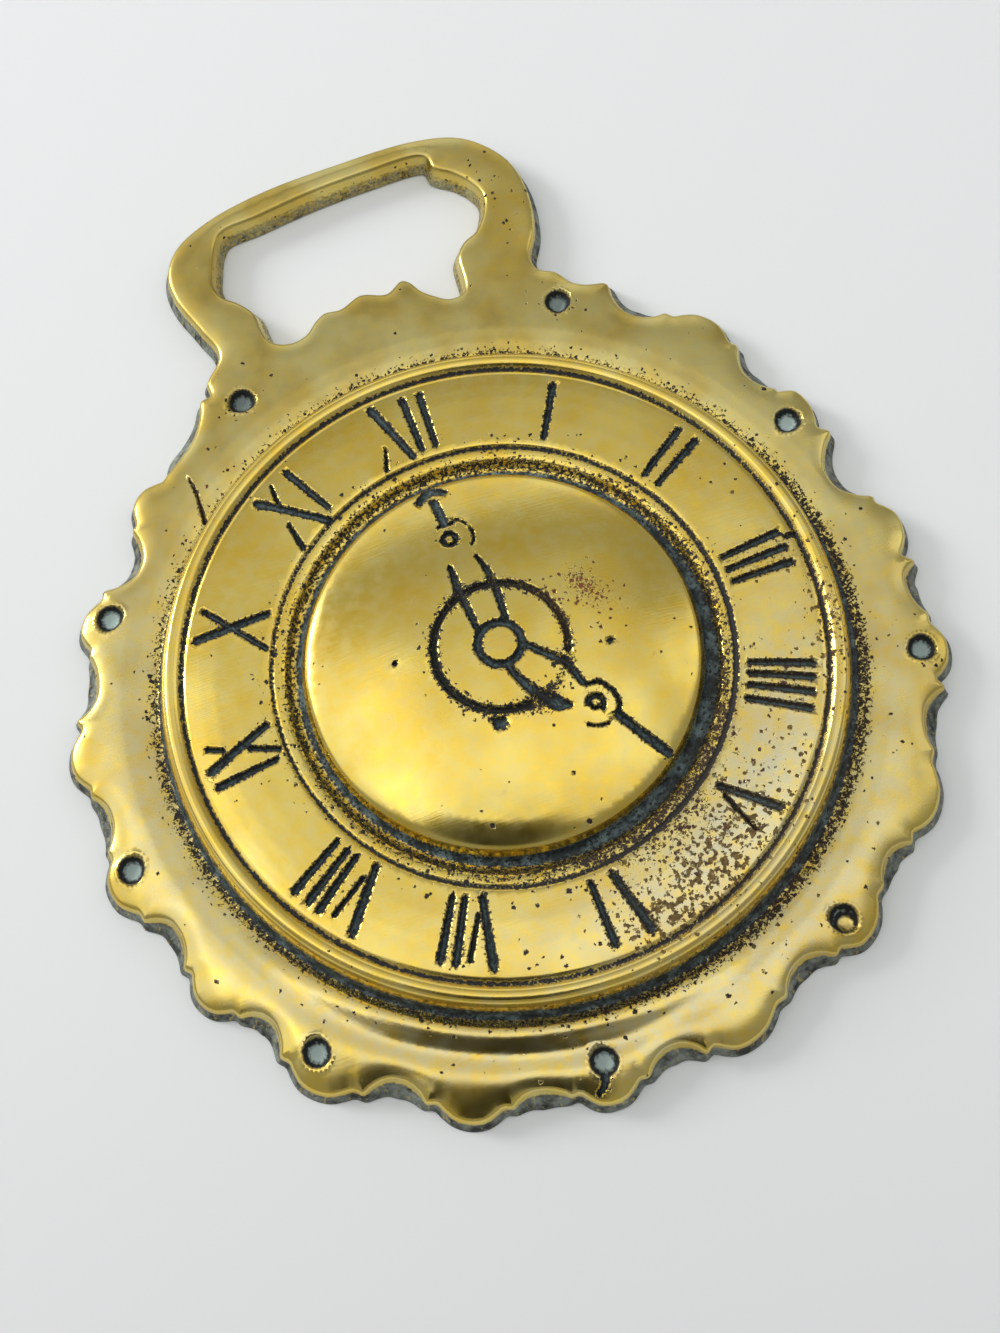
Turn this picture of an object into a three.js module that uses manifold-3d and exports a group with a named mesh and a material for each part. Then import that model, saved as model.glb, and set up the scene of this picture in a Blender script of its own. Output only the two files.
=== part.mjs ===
// A cast horse brass: a clock dial on a scalloped flange, with the strap loop
// cast in one with it. It lies on its back. Millimetres, +Z up, +Y towards the loop.
// The relief is laid out round the middle of the dial and the finished casting is
// then moved, so that the origin is the middle of its footprint, on the back plane.

import * as THREE from 'three';
import { mergeVertices } from 'three/addons/utils/BufferGeometryUtils.js';
import Module from 'manifold-3d';

const wasm = await Module();
wasm.setup();

// ---- Driving sizes ---------------------------------------------------------------

const FLANGE_TOP = 2.7;          // thickness of the flange and of the loop
const RING_TOP = 5.3;            // height of the chapter ring that carries the hours
const DOME_TOP = 8.6;            // height of the raised middle of the dial
const DOME_CURVE = 56;           // radius of the sphere that the middle belongs to
const DOME_RADIUS = 17.4;
const RING_RADIUS = 28;          // the cut line round the hours
const INNER_LINE_RADIUS = 20.05; // the cut line inside the hours
const BEAD_RADIUS = 29.6;        // polished bead that edges the dial
const FLANGE_FOOT = 2.2;         // height of the flange where it meets the dial
const FLANGE_CREST_RADIUS = 33.6;
const ROUND = 64;                // facets round the dial

const DRAFT = 0.6;               // how much the walls spread from the front to the back
const SCOOP_DRAFT = 0.8;         // and how much more in the filed hollows of the rim
const EDGE_WIDTH = 0.5;          // rubbed, rounded front edge of the flange and loop
const EDGE_DROP = 0.5;

const DISH_DEPTH = 2.1;          // the back is cast hollow behind the dial
const DISH_RADIUS = 26;
const DOME_DISH_DEPTH = 3.7;
const DOME_DISH_RADIUS = 13.5;

const CUT_DEPTH = 0.42;          // chisel cuts of the hours, the hands and the circles
const CUT_WIDTH = 0.72;
const DIMPLE_RADIUS = 1.25;
const DIMPLE_DEPTH = 0.95;

// The rim is filed by hand, so no two lobes are alike. Each lobe has its angle in
// degrees, clockwise from the loop, and its reach, the degrees to its shoulders
// before and after it, the height of the nib on the shoulder after it, and the
// angle and reach of the bottom of the hollow that follows.
const LOBES = [
  { at: 47, reach: 39.5, before: 5.7, after: 5.7, nib: 0, hollow: [57.3, 36.0] },
  { at: 64, reach: 37.9, before: 3.2, after: 7, nib: 0.6, hollow: [77.3, 34.2] },
  { at: 87, reach: 38.0, before: 4.5, after: 6.3, nib: 0.9, hollow: [96, 36.2] },
  { at: 106, reach: 38.8, before: 5, after: 5.2, nib: 0.7, hollow: [115.5, 36.5] },
  { at: 127, reach: 38.9, before: 7, after: 5.7, nib: 0.2, hollow: [136, 36.4] },
  { at: 146, reach: 38.5, before: 6.4, after: 4.5, nib: 0.1, hollow: [154.8, 35.5] },
  { at: 166, reach: 38.1, before: 7, after: 5.5, nib: 0.2, hollow: [175.4, 35.4] },
  { at: 184.5, reach: 38.2, before: 5, after: 5, nib: 0.1, hollow: [193.4, 36.3] },
  { at: 202, reach: 38.8, before: 5, after: 5.8, nib: 0.1, hollow: [211.8, 36.3] },
  { at: 221.7, reach: 39.4, before: 6, after: 5.3, nib: 0, hollow: [231.2, 36.0] },
  { at: 239, reach: 38.5, before: 4.6, after: 5, nib: 0.2, hollow: [249, 35.8] },
  { at: 257.7, reach: 38.9, before: 5.2, after: 5.3, nib: 0, hollow: [267.4, 36.4] },
  { at: 276, reach: 38.8, before: 5, after: 5.7, nib: 0.4, hollow: [286, 36.0] },
  { at: 295, reach: 38.3, before: 4.2, after: 5.5, nib: 0, hollow: [305.3, 34.5] },
  { at: 315, reach: 37.9, before: 4.7, after: 5, nib: 0, hollow: [323.4, 36.6] },
];

// Where each punched dimple lies: angle in degrees and distance from the middle.
const DIMPLES = [
  [26, 36.7], [66, 34.9], [106, 36.4], [146.5, 36.0], [184.5, 34.9],
  [223, 36.5], [259, 36.4], [296.5, 35.7], [335.5, 36.1],
];

// The hours as they are cut: each sign and its angle on the ring, in degrees. An X
// is spread by the two half widths that follow, at its head and at its foot.
const HOURS = [
  ['X', 352.5, 1.8, 3.8], ['I', 357.9], ['I', 361.4],
  ['I', 28],
  ['I', 54.5], ['I', 58.5],
  ['I', 83], ['I', 86.3], ['I', 89.5],
  ['I', 110], ['I', 112.7], ['I', 115.5], ['I', 118.8],
  ['V', 141],
  ['V', 172.6], ['I', 177.6],
  ['V', 202.2], ['I', 206.2], ['I', 209],
  ['V', 228.3], ['I', 232.8], ['I', 235.3], ['I', 238.5],
  ['I', 263], ['X', 268.6, 2.2, 3.3],
  ['X', 295.5, 3.0, 4.3],
  ['X', 324.1, 2.3, 4.7], ['I', 330.7],
];
const HOUR_HEAD = 26.7;
const HOUR_FOOT = 20.9;

// ---- Helpers ---------------------------------------------------------------------

// A point on the face, from its clockwise angle in degrees and its radius.
function onDial(angle, radius) {
  const turn = THREE.MathUtils.degToRad(angle);
  return new THREE.Vector2(radius * Math.sin(turn), radius * Math.cos(turn));
}

// A closed geometry as a solid that can be joined and cut.
function solid(geometry) {
  const bare = geometry.clone();
  bare.deleteAttribute('normal');
  bare.deleteAttribute('uv');
  const merged = mergeVertices(bare, 1e-4);
  return new wasm.Manifold(new wasm.Mesh({
    numProp: 3,
    vertProperties: new Float32Array(merged.attributes.position.array),
    triVerts: new Uint32Array(merged.index.array),
  }));
}

// A solid turned from a profile of [radius, height] pairs, with its axis along Z.
function turned(profile, facets = ROUND) {
  const points = profile.map(([radius, height]) => new THREE.Vector2(radius, height));
  return new THREE.LatheGeometry(points, facets).rotateX(Math.PI / 2);
}

// A straight-walled solid that stands on a plan, between two heights.
function prism(outline, bottom, top) {
  const geometry = new THREE.ExtrudeGeometry(new THREE.Shape(outline), {
    depth: top - bottom, bevelEnabled: false,
  });
  return solid(geometry.translate(0, 0, bottom));
}

// ---- Outline of the flange and the loop --------------------------------------------

// From the peak of a lobe to its shoulder: the share of the way, and how far the edge
// has drawn in. The lobe rolls over and ends in a small level shoulder.
const LOBE_SIDE = [[0.33, 0.2], [0.6, 0.8], [0.77, 1.25], [1, 1.25]];

// One side of a lobe, from its peak to the end of its shoulder.
function lobeSide(lobe, degrees, nib) {
  return LOBE_SIDE.map(([share, drawnIn]) => [
    lobe.at + share * degrees,
    lobe.reach - drawnIn + (share === 1 ? nib : 0),
    DRAFT,
  ]);
}

// A filed hollow between two shoulders: a round scoop down to its lowest point. The
// file is held aslant, so the scoop is shallower at the back.
function hollow(from, [angle, reach], to) {
  const scoop = (end, share) => [
    angle + (end[0] - angle) * share,
    reach + (end[1] - reach) * share ** 2.3,
    DRAFT + SCOOP_DRAFT * (1 - share * share),
  ];
  return [scoop(from, 0.75), scoop(from, 0.4), scoop(from, 0), scoop(to, 0.4), scoop(to, 0.75)];
}

// The scalloped rim from the right root of the loop, clockwise, to the left root. Each
// point is an angle, a reach and how far the wall spreads below it.
function rim() {
  const rightRoot = [[22.6, 40.3], [25, 40.1], [27.6, 39.2], [29.5, 39.2], [32.2, 39.7]];
  const leftRoot = [[331.6, 39.15], [333, 38.9], [334, 40.1]];
  const edge = rightRoot.map(([angle, reach]) => [angle, reach, DRAFT]);
  let bottom = [37.3, 37];
  for (const lobe of LOBES) {
    const rising = lobeSide(lobe, -lobe.before, 0).reverse();
    const falling = lobeSide(lobe, lobe.after, lobe.nib);
    edge.push(...hollow(edge[edge.length - 1], bottom, rising[0]));
    edge.push(...rising, [lobe.at, lobe.reach, DRAFT], ...falling);
    bottom = lobe.hollow;
  }
  edge.push(...hollow(edge[edge.length - 1], bottom, leftRoot[0]));
  edge.push(...leftRoot.map(([angle, reach]) => [angle, reach, DRAFT]));
  return edge.map(([angle, reach, draft]) => ({ place: onDial(angle, reach), draft }));
}

// Points of an edge whose wall spreads evenly.
function evenEdge(places) {
  return places.map(([x, y]) => ({ place: new THREE.Vector2(x, y), draft: DRAFT }));
}

// The outside of the loop, from its left root over the bar to its right root.
function loopOutside() {
  const bends = [
    [-15.8, 38.4], [-16.8, 41.6], [-18.2, 45.6], [-18.2, 48.4], [-16.7, 50.9],
    [-12.6, 53.0], [-7, 54.2], [0, 54.7], [8.4, 54.7], [12.8, 53.6],
    [15.6, 51.1], [16.9, 48.5], [17.2, 45.1], [16.5, 41.4], [15.2, 38.7],
  ];
  const curve = new THREE.SplineCurve(bends.map(([x, y]) => new THREE.Vector2(x, y)));
  return evenEdge(curve.getPoints(34).map((point) => [point.x, point.y]));
}

// The strap slot: its corners, going round from the lower left. Its lower side is the
// scalloped rim carried on between the two legs of the loop.
function slot() {
  const left = [[-11.2, 39.8], [-11.4, 41.5], [-12.5, 43.1], [-13.9, 44.4], [-14.3, 45.8]];
  const bar = [[-13.9, 47.6], [-13, 50], [-12, 51.1], [-8.4, 51.6], [-2.8, 52.4], [2.8, 52.8]];
  const corner = [[8.3, 52.8], [9.1, 52.3], [9.4, 51], [10.9, 49.9], [12.3, 48.3]];
  const right = [[13, 46.5], [12.5, 44.8], [11.2, 43], [9.7, 42.2], [8.7, 40.9], [8.4, 37.9]];
  const valley = [[8, 37], [6.6, 36.8], [5.3, 37.6], [4.3, 38.5], [3.5, 39.8]];
  const lobe = [[2.8, 40.2], [1.1, 39.3], [-1.3, 40], [-3.5, 39.2], [-5.1, 39.3]];
  const end = [[-6.2, 38.7], [-7.3, 37.7], [-8.7, 37.3], [-10, 37.6], [-10.9, 38.4]];
  return evenEdge([...left, ...bar, ...corner, ...right, ...valley, ...lobe, ...end]);
}

// The way each point of an edge moves when the wall spreads: its outward normal,
// evened out over the neighbouring edges so that nicks don't fold over.
function spread(edge) {
  const count = edge.length;
  const normals = edge.map(({ place }, index) => {
    const next = edge[(index + 1) % count].place;
    return new THREE.Vector2(next.y - place.y, place.x - next.x);
  });
  return edge.map((point, index) => {
    const sum = new THREE.Vector2();
    for (const step of [-3, -2, -1, 0, 1, 2]) {
      sum.add(normals[(index + step + count) % count]);
    }
    return sum.normalize();
  });
}

// The flat plate of flange and loop: the outline drawn up through its levels, wider
// at the back and rounded over at the front edge.
function plate(outside, hole) {
  const places = (edge) => edge.map(({ place }) => place);
  const shape = new THREE.Shape(places(outside));
  shape.holes.push(new THREE.Path(places(hole)));
  const levels = [
    { height: 0, spread: 1, drawnIn: 0 },
    { height: FLANGE_TOP - EDGE_DROP, spread: 0, drawnIn: 0 },
    { height: FLANGE_TOP - 0.3 * EDGE_DROP, spread: 0, drawnIn: 0.3 * EDGE_WIDTH },
    { height: FLANGE_TOP, spread: 0, drawnIn: EDGE_WIDTH },
  ];
  const geometry = new THREE.ExtrudeGeometry(shape, {
    depth: levels.length - 1, steps: levels.length - 1, bevelEnabled: false,
  });
  const walls = new Map();
  for (const edge of [outside, hole]) {
    const ways = spread(edge);
    edge.forEach(({ place, draft }, index) => {
      const key = `${Math.fround(place.x)},${Math.fround(place.y)}`;
      walls.set(key, { way: ways[index], draft });
    });
  }
  const place = geometry.attributes.position;
  for (let index = 0; index < place.count; index += 1) {
    const x = place.getX(index);
    const y = place.getY(index);
    const { way, draft } = walls.get(`${x},${y}`);
    const level = levels[Math.round(place.getZ(index))];
    const out = level.spread * draft - level.drawnIn;
    place.setXYZ(index, x + out * way.x, y + out * way.y, level.height);
  }
  return solid(geometry);
}

// ---- The dial ----------------------------------------------------------------------

// Height of the domed middle at a radius.
function domeHeight(radius) {
  return DOME_TOP - radius * radius / (2 * DOME_CURVE);
}

const domeSteps = [0, 4.5, 8.5, 12, 14.8, 16.5];
const DIAL_FOOT = 0.5;
const dialProfile = [
  [0, DIAL_FOOT],
  [BEAD_RADIUS + 0.9, DIAL_FOOT],
  [BEAD_RADIUS + 0.9, FLANGE_FOOT],
  [BEAD_RADIUS + 0.3, FLANGE_FOOT + 0.9],
  [BEAD_RADIUS, RING_TOP - 0.7],
  [BEAD_RADIUS - 0.5, RING_TOP + 0.05],
  [BEAD_RADIUS - 1.2, RING_TOP + 0.05],
  [RING_RADIUS + 0.25, RING_TOP - 0.1],
  [RING_RADIUS, RING_TOP - 0.4],
  [RING_RADIUS - 0.25, RING_TOP],
  [INNER_LINE_RADIUS + 0.22, RING_TOP],
  [INNER_LINE_RADIUS, RING_TOP - 0.35],
  [INNER_LINE_RADIUS - 0.22, RING_TOP - 0.15],
  [DOME_RADIUS + 1.4, RING_TOP - 0.35],
  [DOME_RADIUS + 1.0, RING_TOP - 1.1],
  [DOME_RADIUS + 0.2, RING_TOP - 1.1],
  [DOME_RADIUS, RING_TOP - 0.2],
  [DOME_RADIUS - 0.3, domeHeight(DOME_RADIUS) - 0.3],
  ...domeSteps.map((radius) => [radius, domeHeight(radius)]).reverse(),
];
const dial = turned(dialProfile);

// The flange is rubbed down towards the dial, from a soft crest half way out.
const flangeRub = turned([
  [BEAD_RADIUS - 1, FLANGE_TOP + 1],
  [BEAD_RADIUS - 1, FLANGE_FOOT],
  [BEAD_RADIUS + 1.2, FLANGE_FOOT],
  [0.5 * (BEAD_RADIUS + 1.2 + FLANGE_CREST_RADIUS), FLANGE_TOP - 0.12],
  [FLANGE_CREST_RADIUS, FLANGE_TOP],
  [FLANGE_CREST_RADIUS, FLANGE_TOP + 1],
  [BEAD_RADIUS - 1, FLANGE_TOP + 1],
]);

// The back is hollow behind the dial, in two steps with sloping sides.
const dish = turned([
  [0, -1],
  [DISH_RADIUS + 1.2, -1],
  [DISH_RADIUS + 0.8, 0],
  [DISH_RADIUS, DISH_DEPTH],
  [DOME_DISH_RADIUS + 1, DISH_DEPTH],
  [DOME_DISH_RADIUS, DOME_DISH_DEPTH],
  [0, DOME_DISH_DEPTH],
]);

// ---- Chisel cuts, circles and dimples ------------------------------------------------

const CUT_BOTTOM = 1;
const CUT_TOP = DOME_TOP + 1;

// One chisel cut: a straight stroke with its ends drawn in, as wide as stated.
function stroke(from, to, startWidth, endWidth) {
  const along = to.clone().sub(from).normalize();
  const across = new THREE.Vector2(-along.y, along.x);
  const place = (end, forward, side) => end.clone()
    .addScaledVector(along, forward)
    .addScaledVector(across, side);
  return prism([
    place(from, 0, 0.2 * startWidth),
    place(from, 0, -0.2 * startWidth),
    place(from, 0.6 * startWidth, -0.5 * startWidth),
    place(to, -0.6 * endWidth, -0.5 * endWidth),
    place(to, 0, -0.2 * endWidth),
    place(to, 0, 0.2 * endWidth),
    place(to, -0.6 * endWidth, 0.5 * endWidth),
    place(from, 0.6 * startWidth, 0.5 * startWidth),
  ], CUT_BOTTOM, CUT_TOP);
}

// A circle cut to one width, standing on the face.
function cutCircle(centre, radius, width, facets) {
  const wall = turned([
    [radius - width / 2, CUT_BOTTOM],
    [radius + width / 2, CUT_BOTTOM],
    [radius + width / 2, CUT_TOP],
    [radius - width / 2, CUT_TOP],
    [radius - width / 2, CUT_BOTTOM],
  ], facets);
  return solid(wall.translate(centre.x, centre.y, 0));
}

// The strokes of one hour sign, with their feet towards the middle.
function hourSign([sign, angle, headSpread = 2.5, footSpread = 0]) {
  const head = (offset) => onDial(angle + offset, HOUR_HEAD);
  const foot = (offset) => onDial(angle + offset, HOUR_FOOT);
  if (sign === 'I') {
    return [stroke(head(0), foot(0), CUT_WIDTH, 0.8 * CUT_WIDTH)];
  }
  if (sign === 'V') {
    return [
      stroke(head(-headSpread), foot(0), CUT_WIDTH, 0.8 * CUT_WIDTH),
      stroke(head(headSpread), foot(1.5), 0.7 * CUT_WIDTH, 0.5 * CUT_WIDTH),
    ];
  }
  return [
    stroke(head(-headSpread), foot(footSpread), CUT_WIDTH, 0.8 * CUT_WIDTH),
    stroke(head(headSpread), foot(-footSpread), 0.6 * CUT_WIDTH, 0.6 * CUT_WIDTH),
  ];
}

const HUB_RADIUS = 1.9;
const HAND_CIRCLE_RADIUS = 5.75;
const HAND_BOW_RADIUS = 1.8;
const hourHandAngle = 140;      // clockwise from the loop

// A hand is drawn by the two long cuts of its blade, a small bow with a punched eye
// and the stick of its tip, from the hub outwards.
function hand(angle, bladeFoot, bladeTip, bladeFootSpread, bladeTipSpread, bow, stick) {
  const turn = THREE.MathUtils.degToRad(angle);
  const at = (out, side) => new THREE.Vector2(
    out * Math.sin(turn) + side * Math.cos(turn),
    out * Math.cos(turn) - side * Math.sin(turn),
  );
  const blade = [-1, 1].map((side) => stroke(
    at(bladeFoot, side * bladeFootSpread), at(bladeTip, side * bladeTipSpread), 0.55, 0.75));
  return [
    ...blade,
    cutCircle(at(bow, 0), 0.5, 0.5, 12),
    stroke(at(stick[0], 0), at(stick[1], 0), 0.75, 0.75),
  ];
}

const minuteHand = hand(-2.5, 2.3, 8.6, 1.45, 1.25, 11, [12.8, 15]);
const hourHand = hand(hourHandAngle, 1.9, 6.5, 1.2, 1.6, 9.3, [11.3, 16.6]);

// The minute hand ends in an arrow head, and an arc edges the hour hand's bow.
const arrowTip = new THREE.Vector2(-1.5, 16.5);
const arrowHead = [-1, 1].map((side) => stroke(
  arrowTip, new THREE.Vector2(arrowTip.x + side * 1.3, arrowTip.y - 1.2), 0.8, 0.5));

const cuts = [
  ...HOURS.flatMap(hourSign),
  ...minuteHand,
  ...hourHand,
  ...arrowHead,
  cutCircle(new THREE.Vector2(0, 0.2), HUB_RADIUS, 0.7, 20),
  cutCircle(new THREE.Vector2(0, 0), HAND_CIRCLE_RADIUS, 0.5, 40),
];

// A dimple is a small bowl punched into the flange.
function dimple([angle, radius]) {
  const centre = onDial(angle, radius);
  const bowl = turned([
    [0, FLANGE_TOP - DIMPLE_DEPTH],
    [0.7 * DIMPLE_RADIUS, FLANGE_TOP - 0.8 * DIMPLE_DEPTH],
    [DIMPLE_RADIUS, FLANGE_TOP],
    [1.2 * DIMPLE_RADIUS, FLANGE_TOP + 1],
    [0, FLANGE_TOP + 1],
  ], 14);
  return solid(bowl.translate(centre.x, centre.y, 0));
}

// ---- The casting ---------------------------------------------------------------------

const outside = [...rim(), ...loopOutside()].reverse();
const relief = plate(outside, slot()).subtract(solid(flangeRub)).add(solid(dial));

// Each cut goes equally deep below the relief, so its floor is the relief lowered.
const lowered = solid(dial.clone().translate(0, 0, -CUT_DEPTH));
const chiselled = cuts.reduce((all, cut) => all.add(cut)).subtract(lowered);
const dimples = DIMPLES.map(dimple).reduce((all, one) => all.add(one));
const casting = relief.subtract(chiselled).subtract(dimples).subtract(solid(dish));

const mesh = casting.getMesh();
const geometry = new THREE.BufferGeometry();
geometry.setAttribute('position', new THREE.BufferAttribute(mesh.vertProperties, 3));
geometry.setIndex(new THREE.BufferAttribute(mesh.triVerts, 1));
geometry.computeBoundingBox();
const middle = geometry.boundingBox.getCenter(new THREE.Vector3());
geometry.translate(-middle.x, -middle.y, 0);

const polishedBrass = new THREE.MeshStandardMaterial({
  color: 0xb9963c, roughness: 0.32, metalness: 1,
});
const brass = new THREE.Mesh(geometry, polishedBrass);
brass.name = 'horse_brass';

const part = new THREE.Group();
part.add(brass);

export default part;
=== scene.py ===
# A horse brass: one casting of yellow brass, a clock dial on a scalloped flange with
# its strap loop, lying on its back on a pale floor. Worn, rubbed bright on the high
# parts, with verdigris and dirt left in every cut.

import bpy
import numpy as np
from mathutils import Matrix, Vector
from mathutils.geometry import delaunay_2d_cdt


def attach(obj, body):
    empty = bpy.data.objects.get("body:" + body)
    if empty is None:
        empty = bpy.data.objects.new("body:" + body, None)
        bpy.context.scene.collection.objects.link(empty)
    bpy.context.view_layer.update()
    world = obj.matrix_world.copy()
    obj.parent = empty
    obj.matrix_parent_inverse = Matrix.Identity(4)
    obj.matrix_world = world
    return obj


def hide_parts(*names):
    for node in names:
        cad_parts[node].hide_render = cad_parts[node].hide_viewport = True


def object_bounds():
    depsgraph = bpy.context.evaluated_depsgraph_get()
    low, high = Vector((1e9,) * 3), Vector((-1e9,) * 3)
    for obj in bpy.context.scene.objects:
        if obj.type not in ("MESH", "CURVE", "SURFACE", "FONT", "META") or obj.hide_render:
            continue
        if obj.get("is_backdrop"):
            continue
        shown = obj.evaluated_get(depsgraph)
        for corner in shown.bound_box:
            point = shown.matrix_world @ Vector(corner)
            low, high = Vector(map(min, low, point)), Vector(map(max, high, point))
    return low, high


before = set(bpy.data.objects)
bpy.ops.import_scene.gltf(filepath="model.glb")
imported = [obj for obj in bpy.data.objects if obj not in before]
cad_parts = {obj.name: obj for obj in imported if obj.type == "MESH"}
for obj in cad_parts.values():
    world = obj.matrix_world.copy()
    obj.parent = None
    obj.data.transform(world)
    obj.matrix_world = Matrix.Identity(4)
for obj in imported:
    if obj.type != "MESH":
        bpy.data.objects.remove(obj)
cad_low, cad_high = (np.array(corner) * 1000 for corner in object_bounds())

# ---- The outline ------------------------------------------------------------------
# The flange and the loop were cast as one plate and their edges filed by hand, so no
# two lobes match. Everything is laid out in millimetres round the middle of the dial,
# +Y towards the loop, with angles in degrees clockwise from the loop.

# How far a wall spreads from the face to the back, and how much more in a hollow.
DRAFT = 0.6
SCOOP_DRAFT = 0.8

# Each lobe: its angle and reach, the degrees to its shoulders before and after, the
# nib on the shoulder after it, and the angle and reach of the hollow that follows.
LOBES = [
    (47, 39.5, 5.7, 5.7, 0, 57.3, 36.0), (64, 37.9, 3.2, 7, 0.6, 77.3, 34.2),
    (87, 38.0, 4.5, 6.3, 0.9, 96, 36.2), (106, 38.8, 5, 5.2, 0.7, 115.5, 36.5),
    (127, 38.9, 7, 5.7, 0.2, 136, 36.4), (146, 38.5, 6.4, 4.5, 0.1, 154.8, 35.5),
    (166, 38.1, 7, 5.5, 0.2, 175.4, 35.4), (184.5, 38.2, 5, 5, 0.1, 193.4, 36.3),
    (202, 38.8, 5, 5.8, 0.1, 211.8, 36.3), (221.7, 39.4, 6, 5.3, 0, 231.2, 36.0),
    (239, 38.5, 4.6, 5, 0.2, 249, 35.8), (257.7, 38.9, 5.2, 5.3, 0, 267.4, 36.4),
    (276, 38.8, 5, 5.7, 0.4, 286, 36.0), (295, 38.3, 4.2, 5.5, 0, 305.3, 34.5),
    (315, 37.9, 4.7, 5, 0, 323.4, 36.6),
]
FIRST_HOLLOW = (37.3, 37)
# From a lobe's tip to its shoulder: share of the degrees, and millimetres drawn in.
LOBE_SIDE = [(0.33, 0.2), (0.6, 0.8), (0.77, 1.25), (1, 1.25)]
# Shares of the way from the bottom of a hollow to its end that get a point.
SCOOP_SHARES = (0.28, 0.55, 0.8)
# Angle and reach where the loop's two feet meet the flange.
RIGHT_ROOT = [(22.6, 40.3), (25, 40.1), (27.6, 39.2), (29.5, 39.2), (32.2, 39.7)]
LEFT_ROOT = [(331.6, 39.15), (333, 38.9), (334, 40.1)]
# The loop's outside and its slot, as x and y.
LOOP_OUTSIDE = [
    (-15.8, 38.4), (-16.8, 41.6), (-18.2, 45.6), (-18.2, 48.4), (-16.7, 50.9),
    (-12.6, 53.0), (-7, 54.2), (0, 54.7), (8.4, 54.7), (12.8, 53.6),
    (15.6, 51.1), (16.9, 48.5), (17.2, 45.1), (16.5, 41.4), (15.2, 38.7),
]
SLOT = [
    (-11.2, 39.8), (-11.4, 41.5), (-12.5, 43.1), (-13.9, 44.4), (-14.3, 45.8),
    (-13.9, 47.6), (-13, 50), (-12, 51.1), (-8.4, 51.6), (-2.8, 52.4), (2.8, 52.8),
    (8.3, 52.8), (9.1, 52.3), (9.4, 51), (10.9, 49.9), (12.3, 48.3),
    (13, 46.5), (12.5, 44.8), (11.2, 43), (9.7, 42.2), (8.7, 40.9), (8.4, 37.9),
    (8, 37), (6.6, 36.8), (5.3, 37.6), (4.3, 38.5), (3.5, 39.8),
    (2.8, 40.2), (1.1, 39.3), (-1.3, 40), (-3.5, 39.2), (-5.1, 39.3),
    (-6.2, 38.7), (-7.3, 37.7), (-8.7, 37.3), (-10, 37.6), (-10.9, 38.4),
]


def on_dial(angle, radius):
    """Places at an angle clockwise from the loop and a radius: the radius times the
    sine and the cosine of the angle."""
    turn = np.radians(angle)
    return np.stack([radius * np.sin(turn), radius * np.cos(turn)], -1)


def rim():
    """The scalloped edge as rows of place and wall spread: each lobe rolls over to a
    level shoulder, and each hollow is a scoop whose reach grows with the share of the
    way to its end to the power 2.3."""

    def hollow(start, bottom, end):
        """Down from one shoulder to the bottom and up to the next, as rows."""

        def scoop(tip, share):
            """A row at a share of the way from the bottom to a tip; the wall spreads
            most at the bottom, less by the square of the share."""
            angle = bottom[0] + (tip[0] - bottom[0]) * share
            reach = bottom[1] + (tip[1] - bottom[1]) * share**2.3
            return angle, reach, DRAFT + SCOOP_DRAFT * (1 - share**2)

        falling = [scoop(start, share) for share in SCOOP_SHARES[::-1]]
        return falling + [scoop(start, 0)] + [scoop(end, share) for share in SCOOP_SHARES]

    edge = [(angle, reach, DRAFT) for angle, reach in RIGHT_ROOT]
    bottom = FIRST_HOLLOW
    for at, reach, before, after, nib, next_angle, next_reach in LOBES:
        side = lambda degrees, lift: [
            (at + share * degrees, reach - drawn + lift * (share == 1), DRAFT)
            for share, drawn in LOBE_SIDE
        ]
        rising = side(-before, 0)[::-1]
        edge += hollow(edge[-1], bottom, rising[0]) + rising + [(at, reach, DRAFT)]
        edge += side(after, nib)
        bottom = (next_angle, next_reach)
    left = [(angle, reach, DRAFT) for angle, reach in LEFT_ROOT]
    edge += hollow(edge[-1], bottom, left[0]) + left
    rows = np.array(edge)
    return np.column_stack([on_dial(rows[:, 0], rows[:, 1]), rows[:, 2]])


def closed_curve(points, spacing):
    """A closed centripetal Catmull-Rom curve: the knots are the running sums of the
    square roots of the chords, each stretch is blended from three straight lines by
    way of two parabolas, and the curve is then walked in equal steps."""
    before, start, end, after = (np.roll(points, shift, 0)[:, None] for shift in (1, 0, -1, -2))
    root = lambda a, b: np.linalg.norm((b - a)[..., :2], axis=-1, keepdims=True) ** 0.5
    k1 = root(before, start)
    k2 = k1 + root(start, end)
    k3 = k2 + root(end, after)
    t = k1 + (k2 - k1) * np.linspace(0, 1, 12, endpoint=False)[None, :, None]
    blend = lambda a, b, ka, kb: (a * (kb - t) + b * (t - ka)) / (kb - ka)
    lines = blend(before, start, 0, k1), blend(start, end, k1, k2), blend(end, after, k2, k3)
    bends = blend(lines[0], lines[1], 0, k2), blend(lines[1], lines[2], k1, k3)
    curve = blend(*bends, k1, k2).reshape(-1, points.shape[1])
    curve = np.vstack([curve, curve[:1]])
    steps = np.linalg.norm(np.diff(curve[:, :2], axis=0), axis=1)
    along = np.concatenate([[0], np.cumsum(steps)])
    at = np.linspace(0, along[-1], int(along[-1] / spacing), endpoint=False)
    return np.column_stack([np.interp(at, along, column) for column in curve.T])


def outward(ring, reach):
    """Normals on the right hand of a closed ring: the step from the point before to the
    point after, turned square, and averaged over `reach` points to each side."""
    step = np.roll(ring, -1, 0) - np.roll(ring, 1, 0)
    normal = np.column_stack([step[:, 1], -step[:, 0]])
    total = sum(np.roll(normal, shift, 0) for shift in range(-reach, reach + 1))
    return total / np.linalg.norm(total, axis=1, keepdims=True)


EDGE_STEP = 0.3
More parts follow.
